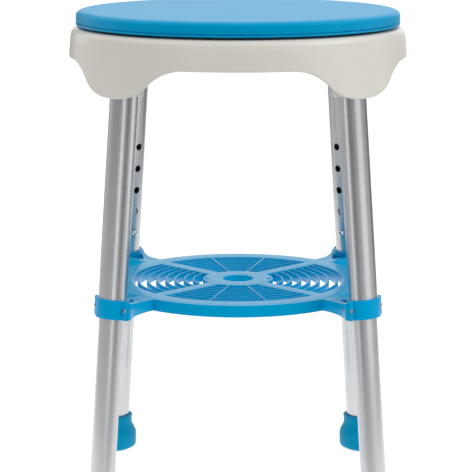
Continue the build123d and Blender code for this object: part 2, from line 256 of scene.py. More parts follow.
def mathNode(tree, kind, first, second):
    node = tree.nodes.new("ShaderNodeMath")
    node.operation = kind
    for socket, value in zip(node.inputs, (first, second)):
        if isinstance(value, (int, float)):
            socket.default_value = value
        else:
            tree.links.new(value, socket)
    return node.outputs[0]


def endTree(tree, given, result, geometry):
    # every tree ends in Realize Instances and Set Material
    realize = tree.nodes.new("GeometryNodeRealizeInstances")
    paint = tree.nodes.new("GeometryNodeSetMaterial")
    tree.links.new(geometry, realize.inputs["Geometry"])
    tree.links.new(realize.outputs["Geometry"], paint.inputs["Geometry"])
    tree.links.new(given.outputs["Material"], paint.inputs["Material"])
    tree.links.new(paint.outputs["Geometry"], result.inputs["Geometry"])


def makeCopyRing():
    # copies of one piece turned about Z
    tree, given, result = newTree("copyRing", [
        ("Piece", "NodeSocketObject"), ("Count", "NodeSocketInt"),
        ("First Turn", "NodeSocketFloat"), ("Material", "NodeSocketMaterial")])
    line = tree.nodes.new("GeometryNodeMeshLine")
    line.inputs["Offset"].default_value = (0, 0, 0)
    tree.links.new(given.outputs["Count"], line.inputs["Count"])
    info = tree.nodes.new("GeometryNodeObjectInfo")
    tree.links.new(given.outputs["Piece"], info.inputs["Object"])
    index = tree.nodes.new("GeometryNodeInputIndex")
    step = mathNode(tree, "DIVIDE", 2 * math.pi, given.outputs["Count"])
    along = mathNode(tree, "MULTIPLY", index.outputs[0], step)
    turn = mathNode(tree, "ADD", along, given.outputs["First Turn"])
    combine = tree.nodes.new("ShaderNodeCombineXYZ")
    tree.links.new(turn, combine.inputs["Z"])
    place = tree.nodes.new("GeometryNodeInstanceOnPoints")
    tree.links.new(line.outputs["Mesh"], place.inputs["Points"])
    tree.links.new(info.outputs["Geometry"], place.inputs["Instance"])
    tree.links.new(combine.outputs[0], place.inputs["Rotation"])
    endTree(tree, given, result, place.outputs["Instances"])
    return tree


def makeHoopSet():
    # hoops one inside another, each with a small rounded section
    tree, given, result = newTree("hoopSet", [
        ("Count", "NodeSocketInt"), ("First Radius", "NodeSocketFloat"), ("Pitch", "NodeSocketFloat"),
        ("Thickness", "NodeSocketFloat"), ("Depth", "NodeSocketFloat"),
        ("Middle Height", "NodeSocketFloat"),
        ("Squeeze", "NodeSocketFloat"), ("Edge Round", "NodeSocketFloat"),
        ("Material", "NodeSocketMaterial")])
    line = tree.nodes.new("GeometryNodeMeshLine")
    line.inputs["Offset"].default_value = (0, 0, 0)
    tree.links.new(given.outputs["Count"], line.inputs["Count"])
    circle = tree.nodes.new("GeometryNodeCurvePrimitiveCircle")
    circle.inputs["Resolution"].default_value = 160
    circle.inputs["Radius"].default_value = 1.0
    index = tree.nodes.new("GeometryNodeInputIndex")
    grow = mathNode(tree, "MULTIPLY", index.outputs[0], given.outputs["Pitch"])
    radius = mathNode(tree, "ADD", grow, given.outputs["First Radius"])
    size = tree.nodes.new("ShaderNodeCombineXYZ")
    tree.links.new(mathNode(tree, "MULTIPLY", radius, given.outputs["Squeeze"]), size.inputs["X"])
    tree.links.new(radius, size.inputs["Y"])
    size.inputs["Z"].default_value = 1.0
    place = tree.nodes.new("GeometryNodeInstanceOnPoints")
    tree.links.new(line.outputs["Mesh"], place.inputs["Points"])
    tree.links.new(circle.outputs["Curve"], place.inputs["Instance"])
    tree.links.new(size.outputs[0], place.inputs["Scale"])
    real = tree.nodes.new("GeometryNodeRealizeInstances")
    tree.links.new(place.outputs["Instances"], real.inputs["Geometry"])
    lift = tree.nodes.new("ShaderNodeCombineXYZ")
    tree.links.new(given.outputs["Middle Height"], lift.inputs["Z"])
    shift = tree.nodes.new("GeometryNodeSetPosition")
    tree.links.new(real.outputs["Geometry"], shift.inputs["Geometry"])
    tree.links.new(lift.outputs[0], shift.inputs["Offset"])
    section = tree.nodes.new("GeometryNodeCurvePrimitiveQuadrilateral")
    tree.links.new(given.outputs["Thickness"], section.inputs["Width"])
    tree.links.new(given.outputs["Depth"], section.inputs["Height"])
    soften = tree.nodes.new("GeometryNodeFilletCurve")
    soften.mode = "POLY"
    soften.inputs["Count"].default_value = 3
    tree.links.new(given.outputs["Edge Round"], soften.inputs["Radius"])
    tree.links.new(section.outputs["Curve"], soften.inputs["Curve"])
    sweep = tree.nodes.new("GeometryNodeCurveToMesh")
    tree.links.new(shift.outputs["Geometry"], sweep.inputs["Curve"])
    tree.links.new(soften.outputs["Curve"], sweep.inputs["Profile Curve"])
    endTree(tree, given, result, sweep.outputs["Mesh"])
    return tree


def makeScrewSpread():
    # copies of one piece at the holder's own points, each turned by its "turn" attribute
    tree, given, result = newTree("screwSpread", [
        ("Geometry", "NodeSocketGeometry"), ("Piece", "NodeSocketObject"),
        ("Material", "NodeSocketMaterial")])
    info = tree.nodes.new("GeometryNodeObjectInfo")
    tree.links.new(given.outputs["Piece"], info.inputs["Object"])
    turn = tree.nodes.new("GeometryNodeInputNamedAttribute")
    turn.data_type = "FLOAT_VECTOR"
    turn.inputs["Name"].default_value = "turn"
    place = tree.nodes.new("GeometryNodeInstanceOnPoints")
    tree.links.new(given.outputs["Geometry"], place.inputs["Points"])
    tree.links.new(info.outputs["Geometry"], place.inputs["Instance"])
    tree.links.new(turn.outputs["Attribute"], place.inputs["Rotation"])
    endTree(tree, given, result, place.outputs["Instances"])
    return tree


def bakeTree(tree, values, holderMesh=None):
    # runs the tree once and gives its result back as a part
    holder = bpy.data.objects.new("treeHolder", holderMesh or bpy.data.meshes.new("treeHolder"))
    scene.collection.objects.link(holder)
    build = holder.modifiers.new("build", "NODES")
    build.node_group = tree
    for item in tree.interface.items_tree:
        if item.in_out == "INPUT" and item.name in values:
            build[item.identifier] = values[item.name]
    bpy.context.view_layer.update()
    graph = bpy.context.evaluated_depsgraph_get()
    mesh = bpy.data.meshes.new_from_object(holder.evaluated_get(graph))
    result = meshPart(mesh)
    bpy.data.objects.remove(holder)
    bpy.data.meshes.remove(mesh)
    return result


def copiesRound(part, count, firstTurn, material):
    pattern = bpy.data.objects.new("pattern", cleanMesh("pattern", part))
    scene.collection.objects.link(pattern)
    result = bakeTree(copyRing, {"Piece": pattern, "Count": count, "First Turn": math.radians(firstTurn),
                                 "Material": material})
    bpy.data.objects.remove(pattern)
    return result


copyRing, hoopSet, screwSpread = makeCopyRing(), makeHoopSet(), makeScrewSpread()
print("node trees made")


# ---- materials ----

def makeMaterial(name, look):
    # look: shader values, tone (two close colours), blotch and grain (scale, amount), stretch of the grain
    material = bpy.data.materials.new(name)
    material.use_nodes = True
    nodes, links = material.node_tree.nodes, material.node_tree.links
    shader = nodes["Principled BSDF"]
    for socket, value in look["shader"].items():
        shader.inputs[socket].default_value = value
    place = nodes.new("ShaderNodeTexCoord")
    blotch = nodes.new("ShaderNodeTexNoise")
    blotch.inputs["Scale"].default_value = look["blotch"]
    blotch.inputs["Detail"].default_value = 5.0
    links.new(place.outputs["Object"], blotch.inputs["Vector"])
    ramp = nodes.new("ShaderNodeValToRGB")
    ramp.color_ramp.elements[0].position = 0.3
    ramp.color_ramp.elements[1].position = 0.7
    ramp.color_ramp.elements[0].color = (*look["tone"][0], 1)
    ramp.color_ramp.elements[1].color = (*look["tone"][1], 1)
    links.new(blotch.outputs["Fac"], ramp.inputs["Fac"])
    links.new(ramp.outputs["Color"], shader.inputs["Base Color"])
    stretch = nodes.new("ShaderNodeMapping")
    stretch.inputs["Scale"].default_value = look["stretch"]
    links.new(place.outputs["Object"], stretch.inputs["Vector"])
    grain = nodes.new("ShaderNodeTexVoronoi" if look["pores"] else "ShaderNodeTexNoise")
    grain.inputs["Scale"].default_value = look["grain"][0]
    links.new(stretch.outputs["Vector"], grain.inputs["Vector"])
    wear = nodes.new("ShaderNodeMapRange")
    wear.inputs["To Min"].default_value = look["rough"][0]
    wear.inputs["To Max"].default_value = look["rough"][1]
    links.new(grain.outputs[0], wear.inputs["Value"])
    links.new(wear.outputs[0], shader.inputs["Roughness"])
    bump = nodes.new("ShaderNodeBump")
    bump.inputs["Strength"].default_value = look["grain"][1]
    bump.inputs["Distance"].default_value = look["grain"][2]
    links.new(grain.outputs[0], bump.inputs["Height"])
    links.new(bump.outputs["Normal"], shader.inputs["Normal"])
    return material


looks = {
    "foamSkin": {"shader": {"IOR": 1.28, "Specular Tint": (0.0, 0.55, 0.9, 1)},
                 "tone": ((0.0, 0.315, 0.585), (0.0, 0.335, 0.61)), "blotch": 14.0, "pores": True,
                 "grain": (2600.0, 0.08, 0.00006), "stretch": (1, 1, 1), "rough": (0.34, 0.42)},
    "trayBlue": {"shader": {"IOR": 1.47, "Specular Tint": (0.0, 0.6, 0.9, 1)},
                 "tone": ((0.0, 0.31, 0.60), (0.0, 0.33, 0.63)), "blotch": 20.0, "pores": False,
                 "grain": (500.0, 0.04, 0.00006), "stretch": (1, 1, 1), "rough": (0.24, 0.32)},
    "shellWhite": {"shader": {"IOR": 1.46, "Coat Weight": 0.15, "Coat Roughness": 0.15},
                   "tone": ((0.735, 0.712, 0.645), (0.755, 0.732, 0.67)), "blotch": 9.0, "pores": False,
                   "grain": (90.0, 0.02, 0.0002), "stretch": (1, 1, 1), "rough": (0.26, 0.31)},
    "bushWhite": {"shader": {"IOR": 1.5},
                  "tone": ((0.78, 0.78, 0.75), (0.84, 0.84, 0.82)), "blotch": 40.0, "pores": False,
                  "grain": (900.0, 0.10, 0.0001), "stretch": (1, 1, 1), "rough": (0.42, 0.55)},
    "legMetal": {"shader": {"Metallic": 1.0, "IOR": 1.5},
                 "tone": ((0.60, 0.605, 0.615), (0.64, 0.645, 0.655)), "blotch": 30.0, "pores": False,
                 "grain": (900.0, 0.04, 0.00003), "stretch": (1, 1, 0.03), "rough": (0.25, 0.33)},
    "shelfBlue": {"shader": {"IOR": 1.33, "Specular Tint": (0.0, 0.6, 0.9, 1)},
                  "tone": ((0.0, 0.355, 0.68), (0.0, 0.375, 0.71)), "blotch": 16.0, "pores": False,
                  "grain": (140.0, 0.02, 0.0001), "stretch": (1, 1, 1), "rough": (0.26, 0.31)},
    "footRubber": {"shader": {"IOR": 1.5, "Specular IOR Level": 0.3, "Specular Tint": (0.0, 0.6, 0.9, 1)},
                   "tone": ((0.001, 0.27, 0.47), (0.002, 0.295, 0.51)), "blotch": 60.0, "pores": False,
                   "grain": (1500.0, 0.14, 0.0001), "stretch": (1, 1, 1), "rough": (0.45, 0.60)},
    "domeSteel": {"shader": {"Metallic": 1.0, "IOR": 1.5},
                  "tone": ((0.72, 0.72, 0.71), (0.80, 0.80, 0.79)), "blotch": 90.0, "pores": False,
                  "grain": (2500.0, 0.05, 0.00003), "stretch": (1, 1, 1), "rough": (0.10, 0.20)},
    "screwZinc": {"shader": {"Metallic": 1.0, "IOR": 1.5},
                  "tone": ((0.36, 0.37, 0.39), (0.46, 0.47, 0.48)), "blotch": 120.0, "pores": False,
                  "grain": (1800.0, 0.12, 0.00005), "stretch": (1, 1, 1), "rough": (0.24, 0.38)},
}
paint = {name: makeMaterial(name, look) for name, look in looks.items()}
print("materials made")


# ---- seat ----

cushionLook = {
    "roundWide": 0.0085,      # soft moulded top edge, inwards and down
    "roundTall": 0.0052,
    "crown": 0.0003,          # the middle stands this much above the edge
    "welt": 0.0011,           # rounding over the groove above the tray
    "weltWide": 1.6,          # its shape, inwards and up
    "weltTall": 1.4,
    "bulge": 0.0002,
    "boss": 0.0401,
    "bossRise": 0.0051,
}


def buildCushion():
    low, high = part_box("seat_pad")
    radius, look = high.x, cushionLook
    wide, tall = look["roundWide"], look["roundTall"]
    top = []
    for k in range(25):        # from the middle out to the soft edge
        r = (radius - wide) * k / 24
        fall = (r / radius) ** 4
        top.append((r, high.z - look["crown"] * fall))
    shoulderZ = high.z - look["crown"] - tall
    for k in range(1, 13):
        a = math.pi / 2 * (1 - k / 12)
        top.append((radius - wide + wide * math.cos(a), shoulderZ + tall * math.sin(a)))
    side = [(radius + look["bulge"], (shoulderZ + low.z) / 2),
            (radius, low.z + look["welt"] * look["weltTall"])]
    for k in range(1, 7):
        a = math.pi / 2 * k / 6
        w = look["welt"]
        side.append((radius - w * look["weltWide"] * (1 - math.cos(a)),
                     low.z + w * look["weltTall"] * (1 - math.sin(a))))
    under = [(look["boss"], low.z), (look["boss"], low.z + look["bossRise"]), (0, low.z + look["bossRise"])]
    part = lathe(top + side + under, 256)
    cushion = addPiece("seatCushion", part, "seat", paint["foamSkin"], ["seat_pad"], 50)


trayLook = {
    "edge": 0.0009,
    "boss": 0.040,
    "bossRise": 0.005,
    "bossFit": 0.0002,        # the boss stays this much inside the cushion's hollow
    "padGap": 0.0001,
    "headRadius": 0.0151,     # seat of the pivot bolt's head
    "headDepth": 0.0035,
    "bore": 0.0061,
    "lipOut": 0.0004,
}


def buildTray():
    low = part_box("swivel_tray")[0]
    padLow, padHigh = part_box("seat_pad")
    look, lip = trayLook, padHigh.x + trayLook["lipOut"]
    top, boss = padLow.z - look["padGap"], look["boss"] - look["bossFit"]
    bossTop = padLow.z + look["bossRise"] - look["bossFit"]
    outline = [
        (look["bore"], low.z), (lip, low.z), (lip, top), (boss, top), (boss, bossTop),
        (look["headRadius"], bossTop), (look["headRadius"], bossTop - look["headDepth"]),
        (look["bore"], bossTop - look["headDepth"]),
    ]
    edge = look["edge"]
    outline = softOutline(outline, [0, edge, edge, 0.0003, 0.0005, 0.0003, 0, 0], 4)
    addPiece("seatTray", lathe(outline, 256), "seat", paint["trayBlue"], ["swivel_tray"])


buildCushion()
buildTray()
print("seat built")


# ---- white base ----

baseLook = {
    "plate": 0.004,
    "wall": 0.003,
    "round": 0.0075,
    "draft": 0.08,            # the skirt widens by this share of each metre down
    "apron": 0.0312,          # from the top to the apron's lower edge
    "apronRadius": 0.1809,
    "archFlat": 0.054,
    "archFoot": 0.126,
    "archRound": 0.050,
    "bore": 0.0094,
    "glide": (0.1279, 0.1421, 0.0012),    # groove for the glide ring: inside, outside, depth
    "landing": 0.012,         # flat outside the groove
    "insideRound": 0.004,
    "steps": 720,
    "hub": (0.022, 0.4890),   # radius, lower end
    "ringRib": (0.092, 0.0946),
    "ribBottom": 0.490,
    "ribThick": 0.0026,
    "ribReach": 0.1765,
    "sunk": 0.002,            # ribs and hub go this far into the plate
    "bossWall": 0.0042,
    "bossBottom": 0.452,
    "bossTop": 0.5085,
}
tubeSize = {"wide": 0.034, "deep": 0.0254}


def archHeight(distance, top, bottom):
    # lower edge of the skirt at a distance from the middle of a side
    look = baseLook
    run, drop = look["archFoot"] - look["archFlat"], top - bottom
    turn = 2 * math.atan(drop / run)
    upper = look["archRound"]
    lower = run / math.sin(turn) - upper
    if distance <= look["archFlat"]:
        return top
    if distance >= look["archFoot"]:
        return bottom
    if distance <= look["archFlat"] + upper * math.sin(turn):
        across = distance - look["archFlat"]
        return top - upper + math.sqrt(upper**2 - across**2)
    across = look["archFoot"] - distance
    return bottom + lower - math.sqrt(lower**2 - across**2)


def skirtOutline(turn, bottom, top):
    look = baseLook
    apronBottom = top - look["apron"]
    wall, shoulder, half = look["wall"], look["round"], look["wall"] / 2

    def skirt(z):
        return look["apronRadius"] + (apronBottom - z) * look["draft"]

    edge = apronBottom
    for _ in range(3):
        r = skirt(edge) - half
        reach = min(abs(r * math.cos(turn)), abs(r * math.sin(turn)))
        edge = archHeight(reach, apronBottom, bottom)
    inner, outer, sink = look["glide"]
    plateBottom = top - look["plate"]
    points = [(look["bore"], plateBottom), (look["bore"], top), (inner, top), (inner, top - sink),
              (outer, top - sink), (outer, top), (outer + look["landing"], top)]
    centreR, centreZ = skirt(top) - shoulder, top - shoulder
    for k in range(9):
        a = math.pi / 2 * (1 - k / 8)
        points.append((centreR + shoulder * math.cos(a), centreZ + shoulder * math.sin(a)))
    lip = edge + half
    for k in range(1, 11):
        z = centreZ + (lip - centreZ) * k / 10
        points.append((skirt(z), z))
    middle = skirt(lip) - half
    for k in range(1, 8):
        a = math.pi * k / 8
        points.append((middle + half * math.cos(a), lip - half * math.sin(a)))
    inside = look["insideRound"]
    for k in range(9):
        z = lip + (plateBottom - inside - lip) * k / 8
        points.append((skirt(z) - wall, z))
    insideR = skirt(plateBottom) - wall
    for k in range(1, 5):
        a = math.pi / 2 * k / 4
        points.append((insideR - inside * (1 - math.cos(a)), plateBottom - inside * (1 - math.sin(a))))
    points += [(0.12, plateBottom), (0.06, plateBottom)]
    return points


def buildBase():
    low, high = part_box("seat_base")
    look = baseLook
    steps = look["steps"]
    rings = []
    for k in range(steps):
        turn = 2 * math.pi * k / steps
        ring = skirtOutline(turn, low.z, high.z)
        rings.append([Vector((r * math.cos(turn), r * math.sin(turn), z)) for r, z in ring])
    shell = loft(rings, cyclic=True)
    plateBottom = high.z - look["plate"]
    hubRadius, hubBottom = look["hub"]
    ribTop = plateBottom + look["sunk"]
    hub = lathe(softOutline([(look["bore"], hubBottom), (hubRadius, hubBottom), (hubRadius, ribTop),
                             (look["bore"], ribTop)], [0.0005, 0.0012, 0, 0]), 96)
    ringIn, ringOut = look["ringRib"]
    ring = lathe(softOutline([(ringIn, look["ribBottom"]), (ringOut, look["ribBottom"]),
                              (ringOut, ribTop), (ringIn, ribTop)], [0.0009, 0.0009, 0, 0]), 192)
    half = look["ribThick"] / 2
    heights = (look["ribBottom"], ribTop)
    longRib = roundedBox((hubRadius - 0.001, look["ribReach"]), (-half, half), heights, 0.0007)
    bossInner = reachAt(heights[0]) - tubeSize["deep"] / 2 - look["bossWall"] + 0.001
    shortRib = roundedBox((hubRadius - 0.001, bossInner - 0.002), (-half, half), heights, 0.0007)
    white = paint["shellWhite"]
    ribs = [copiesRound(longRib, 4, 0, white), copiesRound(shortRib, 4, 45, white)]
    sockets = [socketPart(corner) for corner in cornerTurn]
    addPiece("baseShell", joined(shell, hub, ring, *ribs, *sockets), "frame", white,
             ["seat_base"], 40)


def socketPart(corner):
    # oval socket round the top of a leg
    look = baseLook
    wall, gap = look["bossWall"], 0.0001
    wide, deep = tubeSize["wide"], tubeSize["deep"]
    bottom, top = alongLeg(look["bossBottom"]), alongLeg(look["bossTop"])
    outline = softOutline([(gap, bottom), (wall, bottom), (wall, top), (gap, top)], [0.0008, 0.0012, 0, 0])
    leg = legMatrix(corner)
    rings = [ovalRing(wide + 2 * out, deep + 2 * out, z, leg) for out, z in outline]
    return loft(rings, cyclic=True)


buildBase()
print("base built")


# ---- shelf and collars ----

shelfLook = {
    "depth": 0.0123,
    "skin": 0.0026,
    "wall": 0.0024,
    "rim": (0.1155, 0.138),
    "centre": (0.0162, 0.0385),
    "short": 0.0024,          # slats and spokes end this much above the rim's lower edge
    "slatCount": 7,
    "slatFirst": 0.0487,
    "slatPitch": 0.01005,
    "slatThick": 0.002,
    "slatSink": 0.0005,
    "spokeWide": 0.015,
    "ribLean": 15,
    "ribThick": 0.0017,
    "ribDepth": 0.004,
    "bump": (0.0026, 0.0009, 0.034),
    "top": 0.2367,
}
collarLook = {
    "wall": 0.0024,
    "earLong": 0.0052,
    "earThick": 0.0032,
    "neck": 0.0125,
    "neckReach": 0.134,
    "armStart": 0.1182,
    "armStep": 0.002,
    "flarePower": 3.1,        # how late the arm widens towards its leg
    "risePower": 2.3,
    "riseStart": 0.147,
    "pocketStart": 0.153,
    "pocketShare": 0.62,      # of the arm's half width where the pocket ends
    "pocketWall": 0.0034,
    "pocketDepth": 0.0045,
}


def channelPart(start, end, wide, top, bottom):
    # bar along X with a rounded skin on top and a wall down each side
    look, half = shelfLook, wide / 2
    wall, skin = look["wall"], look["skin"]
    outline = softOutline([
        (-half, bottom), (-half + wall, bottom), (-half + wall, top - skin), (half - wall, top - skin),
        (half - wall, bottom), (half, bottom), (half, top), (-half, top),
    ], [0.0006, 0.0006, 0.0006, 0.0006, 0.0006, 0.0006, 0.0011, 0.0011], 3)
    return loft([[Vector((x, y, z)) for y, z in outline] for x in (start, end)])


def armPart(low, high):
    # arm from the rim to its leg, before the leg's way is cut
    look, top = collarLook, shelfLook["top"]
    bottom = top - shelfLook["depth"]
    earReach = tubeSize["wide"] / 2 + look["wall"] + look["earLong"]
    end = reachAt(top)
    pocketEnd = end - tubeSize["deep"] / 2 - look["wall"]
    pocketWide = earReach * look["pocketShare"] - look["pocketWall"]
    places = [look["armStart"] + look["armStep"] * k for k in range(17)]
    places += [look["pocketStart"] - 0.0012, look["pocketStart"] - 0.0004, look["pocketStart"]]
    places += [look["pocketStart"] + (pocketEnd - look["pocketStart"]) * k / 8 for k in range(1, 9)]
    places += [pocketEnd + 0.0002, pocketEnd + 0.0012, pocketEnd + 0.004, end - 0.008, end - 0.0055,
               end - look["earThick"], end, end + look["earThick"]]
    rings = []
    for s in sorted(places):
        t = min(max((s - look["neckReach"]) / (end - look["earThick"] - look["neckReach"]), 0), 1)
        wide = look["neck"] + (earReach - look["neck"]) * t**look["flarePower"]
        rise = min(max((s - look["riseStart"]) / (end + look["earThick"] - look["riseStart"]), 0), 1)
        zTop = top - 0.0001 + (high - top) * rise**look["risePower"]
        zLow = bottom + (low - bottom) * rise
        inPocket = look["pocketStart"] <= s <= pocketEnd
        share = (s - look["pocketStart"]) / (pocketEnd - look["pocketStart"])
        half = max(pocketWide * share, 0.0004) if inPocket else wide * 0.5
        floor = top - look["pocketDepth"] if inPocket else zTop - 0.00002
        ring = softOutline([
            (-wide, zLow), (wide, zLow), (wide, zTop), (half, zTop),
            (half, floor), (-half, floor), (-half, zTop), (-wide, zTop),
        ], [0.0008, 0.0008, 0.0013, 0.0006, 0.0006, 0.0006, 0.0006, 0.0013], 3)
        rings.append([Vector((s, y, z)) for y, z in ring])
    return loft(rings)


def bandPart(start, end, bottom, top):
    # strap round the leg between two turns, in the leg's own frame
    wide, deep = tubeSize["wide"] / 2, tubeSize["deep"] / 2
    path = []
    for k in range(41):
        a = start + (end - start) * k / 40
        place = Vector((deep * math.cos(a), wide * math.sin(a), 0))
        outwards = Vector((math.cos(a) / deep, math.sin(a) / wide, 0)).normalized()
        path.append((place, outwards))
    wall = collarLook["wall"]
    outline = softOutline([(0.0001, bottom), (wall, bottom), (wall, top), (0.0001, top)],
                          [0.0004, 0.0009, 0.0009, 0.0004], 3)
    return ribbon(path, outline)


def collarHeights():
    low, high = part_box("collar_fr")
    # the collar is square to the leg, so its box is a little taller than the strap
    slack = math.sin(legLean) * (tubeSize["deep"] / 2 + collarLook["wall"])
    return alongLeg(low.z), alongLeg(high.z - slack)


def buildShelf():
    look = shelfLook
    top, wall, skin = look["top"], look["wall"], look["skin"]
    bottom, slatLow = top - look["depth"], top - look["depth"] + look["short"]
    rimIn, rimOut = look["rim"]
    rim = lathe(softOutline([
        (rimIn, slatLow), (rimIn + wall, slatLow), (rimIn + wall, top - skin), (rimOut - wall, top - skin),
        (rimOut - wall, bottom), (rimOut, bottom), (rimOut, top), (rimIn, top),
    ], [0.0006, 0.0006, 0.0008, 0.0008, 0.0006, 0.0006, 0.0015, 0.0013]), 256)
    holeIn, centreOut = look["centre"]
    centre = lathe(softOutline([
        (holeIn, slatLow), (holeIn + wall, slatLow), (holeIn + wall, top - skin),
        (centreOut - wall, top - skin), (centreOut - wall, slatLow), (centreOut, slatLow),
        (centreOut, top), (holeIn, top),
    ], [0.0006, 0.0006, 0.0008, 0.0008, 0.0006, 0.0006, 0.0012, 0.0014]), 160)
    slatHigh = top - look["slatSink"]
    slats = bakeTree(hoopSet, {
        "Count": look["slatCount"], "First Radius": look["slatFirst"], "Pitch": look["slatPitch"],
        "Thickness": look["slatThick"], "Depth": slatHigh - slatLow,
        "Middle Height": (slatHigh + slatLow) / 2,
        "Squeeze": 1.0, "Edge Round": 0.0007, "Material": paint["shelfBlue"]})
    spoke = channelPart(holeIn + wall, rimIn + 0.001, look["spokeWide"], top - 0.00005, slatLow)
    spokes = copiesRound(spoke, 4, 45, paint["shelfBlue"])
    half = look["ribThick"] / 2
    rib = roundedBox((centreOut - 0.001, rimIn + 0.001), (-half, half),
                     (top - look["ribDepth"], top - 0.0001), 0.0004)
    leans = (-look["ribLean"], look["ribLean"])
    ribs = [copiesRound(rib, 2, 90 + lean, paint["shelfBlue"]) for lean in leans]
    bumpRadius, bumpRise, bumpReach = look["bump"]
    dome = [(bumpRadius * math.cos(a), top + bumpRise * math.sin(a))
            for a in (math.pi / 2 * k / 6 for k in range(7))]
    bump = moved(lathe([(0, top - skin), (bumpRadius, top - skin)] + dome[:-1] + [(0, top + bumpRise)], 40),
                 Matrix.Translation((bumpReach, 0, 0)))
    bumps = copiesRound(bump, 2, 0, paint["shelfBlue"])
    low, high = collarHeights()
    lowZ, highZ = low * math.cos(legLean), high * math.cos(legLean)
    wide, deep = tubeSize["wide"] + 0.0002, tubeSize["deep"] + 0.0002
    tubeWay = loft([ovalRing(wide, deep, z, cornerLeg) for z in (low - 0.008, high + 0.008)])
    outside = moved(roundedBox((0.0, 0.06), (-0.08, 0.08), (low - 0.012, high + 0.012), 0.0), cornerLeg)
    arm = cutPart(armPart(lowZ, highZ), tubeWay, outside)
    saddle = moved(bandPart(math.pi / 2, 3 * math.pi / 2, low, high), cornerLeg)
    arms = [copiesRound(arm, 4, 45, paint["shelfBlue"]), copiesRound(saddle, 4, 45, paint["shelfBlue"])]
    addPiece("slattedShelf", joined(rim, centre, slats, spokes, bumps, *ribs, *arms), "frame",
             paint["shelfBlue"], ["shelf"], 34)


def buildCollars():
    look = collarLook
    low, high = collarHeights()
    earReach = tubeSize["wide"] / 2 + look["wall"] + look["earLong"]
    band = bandPart(-math.pi / 2 + 0.01, math.pi / 2 - 0.01, low, high)
    ears = []
    for side in (-1, 1):
        across = sorted((side * (tubeSize["wide"] / 2 + 0.0002), side * earReach))
        ears.append(roundedBox((0.0002, look["earThick"]), across, (low, high), 0.0007))
    for corner in cornerTurn:
        part = moved(joined(band, *ears), legMatrix(corner))
        addPiece("collar_" + corner + ".shown", part, "frame", paint["shelfBlue"],
                 ["collar_" + corner])


buildShelf()
buildCollars()
print("shelf and collars built")


# ---- screws ----

screwLook = {"shank": 0.0016, "head": 0.0021, "rise": 0.0014, "slot": 0.0006, "slotLong": 0.0022,
             "slotDepth": 0.0010, "collarLong": 0.012, "legLong": 0.009, "legUp": 0.024}


def screwPart(length):
    # pan head at minus Z with a cross recess, shank towards plus Z
    look = screwLook
    dome = []
    for k in range(7):
        a = math.pi / 2 * k / 6
        dome.append((look["head"] * math.sin(a) ** 0.8, -look["rise"] * (0.35 + 0.65 * math.cos(a))))
    outline = dome + [(look["head"], 0), (look["shank"], 0), (look["shank"], length - 0.002), (0, length)]
    body = lathe(outline, 40)
    half, long = look["slot"] / 2, look["slotLong"] / 2
    depth = (-look["rise"] - 0.001, -look["rise"] + look["slotDepth"])
    return cutPart(body, roundedBox((-long, long), (-half, half), depth, 0.0),
                   roundedBox((-half, half), (-long, long), depth, 0.0))


def spreadScrews(name, part, places, node):
    pattern = bpy.data.objects.new("screwPattern", cleanMesh("screwPattern", part))
    scene.collection.objects.link(pattern)
    points = bpy.data.meshes.new("screwPoints")
    points.from_pydata([place.translation for place in places], [], [])
    turn = points.attributes.new("turn", "FLOAT_VECTOR", "POINT")
    for item, place in zip(turn.data, places):
        item.vector = place.to_euler()
    made = bakeTree(screwSpread, {"Piece": pattern, "Material": paint["screwZinc"]}, points)
    bpy.data.objects.remove(pattern)
    addPiece(name, made, "frame", paint["screwZinc"], [node])


def buildScrews():
    look, strap = screwLook, collarLook
    low, high = collarHeights()
    across = tubeSize["wide"] / 2 + strap["wall"] + strap["earLong"] / 2
    collarPlaces, legPlaces = [], []
    inward = Matrix.Rotation(-math.pi / 2, 4, "Y")       # shank towards the stool's middle
    outward = Matrix.Rotation(math.pi / 2, 4, "Y")
    bossInner = -tubeSize["deep"] / 2 - baseLook["bossWall"]
    for corner in cornerTurn:
        leg = legMatrix(corner)
        for side in (-1, 1):
            place = Vector((strap["earThick"], side * across, (low + high) / 2))
            collarPlaces.append(leg @ Matrix.Translation(place) @ inward)
        place = Vector((bossInner, 0, alongLeg(baseLook["bossBottom"]) + look["legUp"]))
        legPlaces.append(leg @ Matrix.Translation(place) @ outward)
    spreadScrews("collarScrews", screwPart(look["collarLong"]), collarPlaces, "collar_screws")
    spreadScrews("legScrews", screwPart(look["legLong"]), legPlaces, "leg_screws")


buildScrews()
print("screws built")


# ---- feet ----

footLook = {
    "tube": (0.0304, 0.0218),
    "wall": 0.003,
    "flare": 0.007,
    "height": 0.0425,
    "bandDrop": 0.009,
    "bore": 0.0051,           # floor of the hole along the leg
    "squareFrom": 0.020,      # height where the foot turns square to the leg
    "flareLeft": 0.1,         # share of the flare at the straight band
    "treads": 5,
    "treadDeep": 0.0008,
    "treadFirst": 0.0045,
    "treadPitch": 0.0036,
    "treadThick": 0.0017,
    "treadRound": 0.0003,
    # height above the treads, widening past the full flare
    "soleEdge": ((0, -0.0052), (0.0004, -0.0036), (0.0014, -0.0018), (0.0026, -0.0006)),
    # height, share of the flare
    "lowerSide": ((0.0052, 1), (0.0105, 0.995), (0.0155, 0.97), (0.0195, 0.92)),
    # height from the top edge, widening past the wall
    "topEdge": ((-0.0022, 0.0003), (-0.0018, 0.0009), (-0.0007, 0.0009), (-0.0001, 0.0003),
                (0, -0.0006), (0, -0.0022), (-0.0005, -0.0028)),
}


